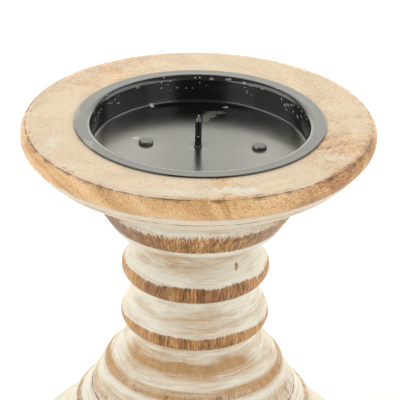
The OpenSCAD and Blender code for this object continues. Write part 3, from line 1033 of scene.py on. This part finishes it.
def wall_dabs(count, turns, depths, radii, longest):
    """Small bright chips in the lacquer, spread over one stretch of the wall."""
    return [(round_axis(wear.uniform(*turns), wear.uniform(*radii), wear.uniform(*depths)) + PAN_SHIFT,
             (wear.uniform(0.3, longest) * MM, wear.uniform(0.3, 0.6) * MM, 0.35 * MM),
             wear.uniform(0.3, 0.8)) for _ in range(count)]


daub(skin, "dab", [
    (on_floor(-17.6, 32.6), (0.5 * MM, 0.9 * MM, 1 * MM), 1.0),
    (on_floor(10.4, 33.2), (1.2 * MM, 0.7 * MM, 1 * MM), 0.9),
    (on_floor(-27.6, -6.8), (1.4 * MM, 0.5 * MM, 1 * MM), 1.0),
    (on_floor(-22.4, 5.4), (1.3 * MM, 0.9 * MM, 1 * MM), 0.9),
    *wall_dabs(16, (52.0, 130.0), (0.0, 1.2), (39.2, 40.0), 1.5),
    *wall_dabs(14, (138.0, 172.0), (1.0, 5.0), (38.7, 39.1), 0.8),
    *wall_dabs(12, (8.0, 42.0), (1.0, 5.0), (38.7, 39.1), 0.8)], ragged=0.9)
to_piece("candle_pan", skin, pan_lacquer, "black_lacquer", "pan")

# %% [markdown]
# ## Spike and pan nails
#
# The spike is a nail pushed up through the pan. Its point was nipped to four facets, so four planes cut
# the spun shank. The nails' heads aren't quite level.

# %% Spike
SPIKE_R = 1.2 * MM
SPIKE_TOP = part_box("spike")[1].z
POINT_H = 2.2 * MM
TIP_R = 0.28 * MM
FACET_TURN = 20.0
outline = cut_outline("spike")
for v in outline.verts:
    if v.co.z > SPIKE_TOP - 0.01 * MM and v.co.x > 0.01 * MM:
        v.co.x = SPIKE_R
measure(outline)
skin = spin(outline, 1)
for quarter in range(4):
    angle = math.radians(FACET_TURN + 90.0 * quarter)
    out = Vector((math.cos(angle), math.sin(angle), 0.0))
    face = (out * POINT_H + Vector((0, 0, SPIKE_R - TIP_R))).normalized()
    made = bmesh.ops.bisect_plane(
        skin, geom=skin.verts[:] + skin.edges[:] + skin.faces[:], dist=WELD,
        plane_co=out * TIP_R + Vector((0, 0, SPIKE_TOP)), plane_no=face, clear_outer=True)
    edges = [g for g in made["geom_cut"] if isinstance(g, bmesh.types.BMEdge)]
    bmesh.ops.edgenet_fill(skin, edges=edges)
bmesh.ops.recalc_face_normals(skin, faces=skin.faces[:])
for face in skin.faces:
    face.smooth = face.calc_center_median().z < SPIKE_TOP - POINT_H - 0.3 * MM
to_piece("spike_nail", skin, spike_lacquer, "black_lacquer", "spike")

# %% Pan nails
NAIL_LIFT = 0.15 * MM
for name, turn, tilt in (("pan_nail_left", 60.0, 2.5), ("pan_nail_right", -70.0, 1.0)):
    low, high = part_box(name)
    middle = Vector(((low.x + high.x) / 2, (low.y + high.y) / 2, high.z - NAIL_HEAD))
    outline = cut_outline(name, (middle.x, middle.y))
    measure(outline)
    skin = spin(outline, 2)
    lean = (Matrix.Rotation(math.radians(tilt), 3, Vector((1, 0, 0)))
            @ Matrix.Rotation(math.radians(turn), 3, "Z"))
    bmesh.ops.rotate(skin, verts=skin.verts[:], cent=(0, 0, middle.z), matrix=lean)
    bmesh.ops.translate(skin, verts=skin.verts[:], vec=(middle.x, middle.y, NAIL_LIFT))
    to_piece(name + "_turned", skin, nail_finish, "nail_steel", name)

# %% [markdown]
# ## Felt pads and screws
#
# The felt pads are cut from sheet, so only their rims are a little round. One screw is hidden under the pan,
# and the other shows only from below. Both keep the CAD's shape, without a cut thread, and get a zinc finish.

# %% Felt pads and screws
FELT_ROUND = 0.35 * MM
for name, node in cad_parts.items():
    if "screw" in name:
        node.data.materials.clear()
        node.data.materials.append(zinc)
    if "felt" in name:
        skin = bmesh.new()
        skin.from_mesh(node.data)
        bmesh.ops.remove_doubles(skin, verts=skin.verts[:], dist=WELD)
        bmesh.ops.dissolve_limit(skin, angle_limit=math.radians(1.0), verts=skin.verts[:],
                                 edges=skin.edges[:])
        rims = [e for e in skin.edges if len(e.link_faces) == 2 and e.calc_face_angle() > 1.0]
        bmesh.ops.bevel(skin, geom=rims, offset=FELT_ROUND, offset_type="OFFSET", segments=3, profile=0.5,
                        affect="EDGES", material=-1)
        to_piece(name + "_soft", skin, felt, "felt", name)
